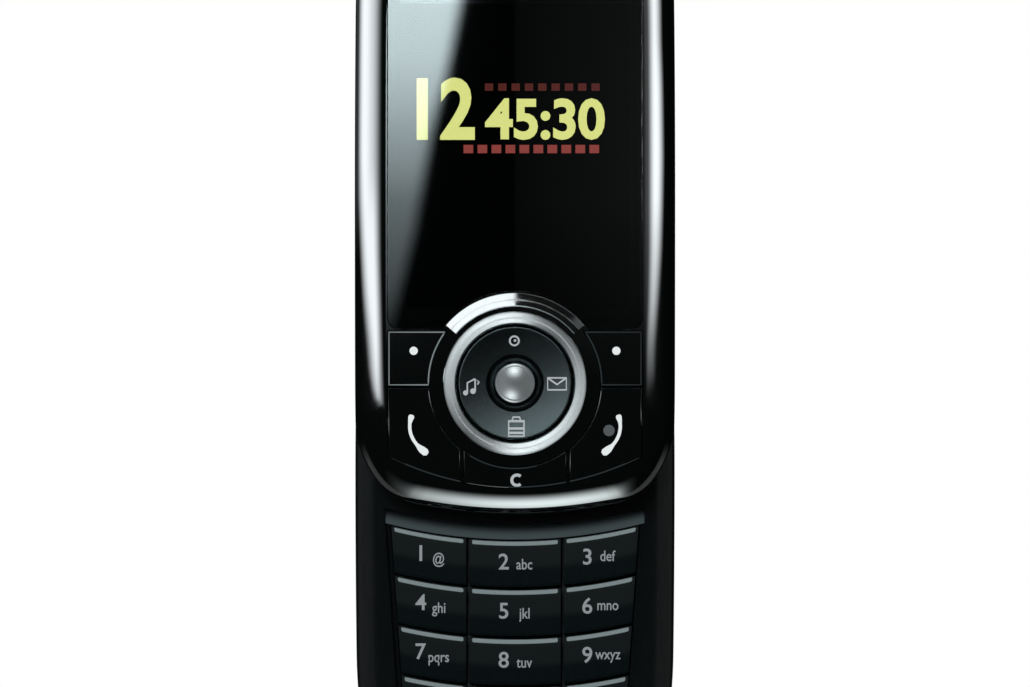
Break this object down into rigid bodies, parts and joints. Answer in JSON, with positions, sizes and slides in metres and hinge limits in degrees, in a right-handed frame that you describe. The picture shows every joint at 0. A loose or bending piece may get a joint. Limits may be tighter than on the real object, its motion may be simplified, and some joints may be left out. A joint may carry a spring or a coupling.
{
  "type": "slider phone",
  "caption": "Slim slider phone, slid open, with a glossy face, a round navigation cluster, curved stepped number keys and a sliding battery cover.",
  "frame": {"origin": "middle of the base's flat back face", "axes": "+X across the phone to its right, +Y along it towards its top end, +Z out of its face"},
  "size_m": [0.0482, 0.137, 0.0176],
  "materials": {
    "black_gloss": "piano black lacquer",
    "black_satin": "fine satin black",
    "window": "smoked clear",
    "bright_trim": "bright plated",
    "satin_trim": "satin",
    "key_black": "gloss black",
    "nav_grey": "dark metallic grey",
    "screen": "dark liquid crystal",
    "board": "green solder mask",
    "steel": "plain",
    "rubber": "translucent grey",
    "dark_part": "moulded",
    "wrap": "printed film wrap",
    "ribbon": "amber film",
    "lens": "coated"
  },
  "bodies": {
    "base": {"base_front_cover": "black_satin", "keypad_mat": "rubber", "number_domes": "steel", "main_board": "board", "base_rear_cover": "black_satin", "base_screws": "steel", "battery": "wrap", "guide_plate": "steel", "guide_screws": "steel", "slide_spring": "steel", "flex_cable": "ribbon", "data_socket": "steel", "microphone": "dark_part", "loudspeaker": "dark_part", "vibration_motor": "steel", "antenna": "ribbon", "side_switches": "dark_part"},
    "slide": {"slide_front_cover": "black_gloss", "display_window": "window", "nav_crescent": "bright_trim", "nav_bezel": "bright_trim", "earpiece_grille": "satin_trim", "earpiece": "dark_part", "display_panel": "screen", "display_frame": "steel", "slide_board": "board", "slide_domes": "steel", "slide_rear_cover": "black_satin", "camera_bezel": "satin_trim", "camera_lens": "lens", "camera_module": "dark_part", "moving_plate": "steel", "slide_screws": "steel"},
    "left_soft_key": {"left_soft_key": "key_black"},
    "right_soft_key": {"right_soft_key": "key_black"},
    "call_key": {"call_key": "key_black"},
    "end_key": {"end_key": "key_black"},
    "clear_key": {"clear_key": "key_black"},
    "nav_pad": {"nav_pad": "rubber"},
    "nav_key": {"nav_key": "nav_grey"},
    "select_key": {"select_key": "bright_trim"},
    "key_1": {"key_1": "key_black"},
    "key_2": {"key_2": "key_black"},
    "key_3": {"key_3": "key_black"},
    "key_4": {"key_4": "key_black"},
    "key_5": {"key_5": "key_black"},
    "key_6": {"key_6": "key_black"},
    "key_7": {"key_7": "key_black"},
    "key_8": {"key_8": "key_black"},
    "key_9": {"key_9": "key_black"},
    "key_star": {"key_star": "key_black"},
    "key_0": {"key_0": "key_black"},
    "key_hash": {"key_hash": "key_black"},
    "volume_key": {"volume_key": "satin_trim"},
    "camera_key": {"camera_key": "satin_trim"},
    "battery_cover": {"battery_cover": "black_satin"}
  },
  "joints": [
    {"name": "slide_travel", "type": "slide", "parent": "base", "child": "slide", "axis": [0, 1, 0], "range_m": [-0.041, 0], "deforming": ["slide_spring", "flex_cable"]},
    {"name": "left_soft_key_press", "type": "slide", "parent": "slide", "child": "left_soft_key", "axis": [0, 0, -1], "range_m": [0, 0.0003], "stiffness_N_per_m": 2000, "springref_m": -0.0003},
    {"name": "right_soft_key_press", "type": "slide", "parent": "slide", "child": "right_soft_key", "axis": [0, 0, -1], "range_m": [0, 0.0003], "stiffness_N_per_m": 2000, "springref_m": -0.0003},
    {"name": "call_key_press", "type": "slide", "parent": "slide", "child": "call_key", "axis": [0, 0, -1], "range_m": [0, 0.0003], "stiffness_N_per_m": 2000, "springref_m": -0.0003},
    {"name": "end_key_press", "type": "slide", "parent": "slide", "child": "end_key", "axis": [0, 0, -1], "range_m": [0, 0.0003], "stiffness_N_per_m": 2000, "springref_m": -0.0003},
    {"name": "clear_key_press", "type": "slide", "parent": "slide", "child": "clear_key", "axis": [0, 0, -1], "range_m": [0, 0.0003], "stiffness_N_per_m": 2000, "springref_m": -0.0003},
    {"name": "select_key_press", "type": "slide", "parent": "slide", "child": "select_key", "axis": [0, 0, -1], "range_m": [0, 0.0003], "stiffness_N_per_m": 2000, "springref_m": -0.0003},
    {"name": "nav_pad_rock", "type": "hinge", "parent": "slide", "child": "nav_pad", "pos_m": [0, 0.01275, 0.01415], "axis": [1, 0, 0], "range_deg": [-1.5, 1.5], "stiffness_Nm_per_rad": 0.3},
    {"name": "nav_key_rock", "type": "hinge", "parent": "nav_pad", "child": "nav_key", "pos_m": [0, 0.01275, 0.0147], "axis": [0, 1, 0], "range_deg": [-1.5, 1.5], "stiffness_Nm_per_rad": 0.3},
    {"name": "key_1_press", "type": "slide", "parent": "base", "child": "key_1", "axis": [0, 0, -1], "range_m": [0, 0.0003], "stiffness_N_per_m": 2000, "springref_m": -0.0003},
    {"name": "key_2_press", "type": "slide", "parent": "base", "child": "key_2", "axis": [0, 0, -1], "range_m": [0, 0.0003], "stiffness_N_per_m": 2000, "springref_m": -0.0003},
    {"name": "key_3_press", "type": "slide", "parent": "base", "child": "key_3", "axis": [0, 0, -1], "range_m": [0, 0.0003], "stiffness_N_per_m": 2000, "springref_m": -0.0003},
    {"name": "key_4_press", "type": "slide", "parent": "base", "child": "key_4", "axis": [0, 0, -1], "range_m": [0, 0.0003], "stiffness_N_per_m": 2000, "springref_m": -0.0003},
    {"name": "key_5_press", "type": "slide", "parent": "base", "child": "key_5", "axis": [0, 0, -1], "range_m": [0, 0.0003], "stiffness_N_per_m": 2000, "springref_m": -0.0003},
    {"name": "key_6_press", "type": "slide", "parent": "base", "child": "key_6", "axis": [0, 0, -1], "range_m": [0, 0.0003], "stiffness_N_per_m": 2000, "springref_m": -0.0003},
    {"name": "key_7_press", "type": "slide", "parent": "base", "child": "key_7", "axis": [0, 0, -1], "range_m": [0, 0.0003], "stiffness_N_per_m": 2000, "springref_m": -0.0003},
    {"name": "key_8_press", "type": "slide", "parent": "base", "child": "key_8", "axis": [0, 0, -1], "range_m": [0, 0.0003], "stiffness_N_per_m": 2000, "springref_m": -0.0003},
    {"name": "key_9_press", "type": "slide", "parent": "base", "child": "key_9", "axis": [0, 0, -1], "range_m": [0, 0.0003], "stiffness_N_per_m": 2000, "springref_m": -0.0003},
    {"name": "key_star_press", "type": "slide", "parent": "base", "child": "key_star", "axis": [0, 0, -1], "range_m": [0, 0.0003], "stiffness_N_per_m": 2000, "springref_m": -0.0003},
    {"name": "key_0_press", "type": "slide", "parent": "base", "child": "key_0", "axis": [0, 0, -1], "range_m": [0, 0.0003], "stiffness_N_per_m": 2000, "springref_m": -0.0003},
    {"name": "key_hash_press", "type": "slide", "parent": "base", "child": "key_hash", "axis": [0, 0, -1], "range_m": [0, 0.0003], "stiffness_N_per_m": 2000, "springref_m": -0.0003},
    {"name": "volume_rock", "type": "hinge", "parent": "base", "child": "volume_key", "pos_m": [-0.02147, 0.024, 0.00695], "axis": [0, 0, 1], "range_deg": [-1.8, 1.8], "stiffness_Nm_per_rad": 0.2},
    {"name": "camera_key_press", "type": "slide", "parent": "base", "child": "camera_key", "axis": [-1, 0, 0], "range_m": [0, 0.0003], "stiffness_N_per_m": 2000, "springref_m": -0.0003},
    {"name": "battery_cover_slide", "type": "slide", "parent": "base", "child": "battery_cover", "axis": [0, -1, 0], "range_m": [0, 0.008]}
  ]
}
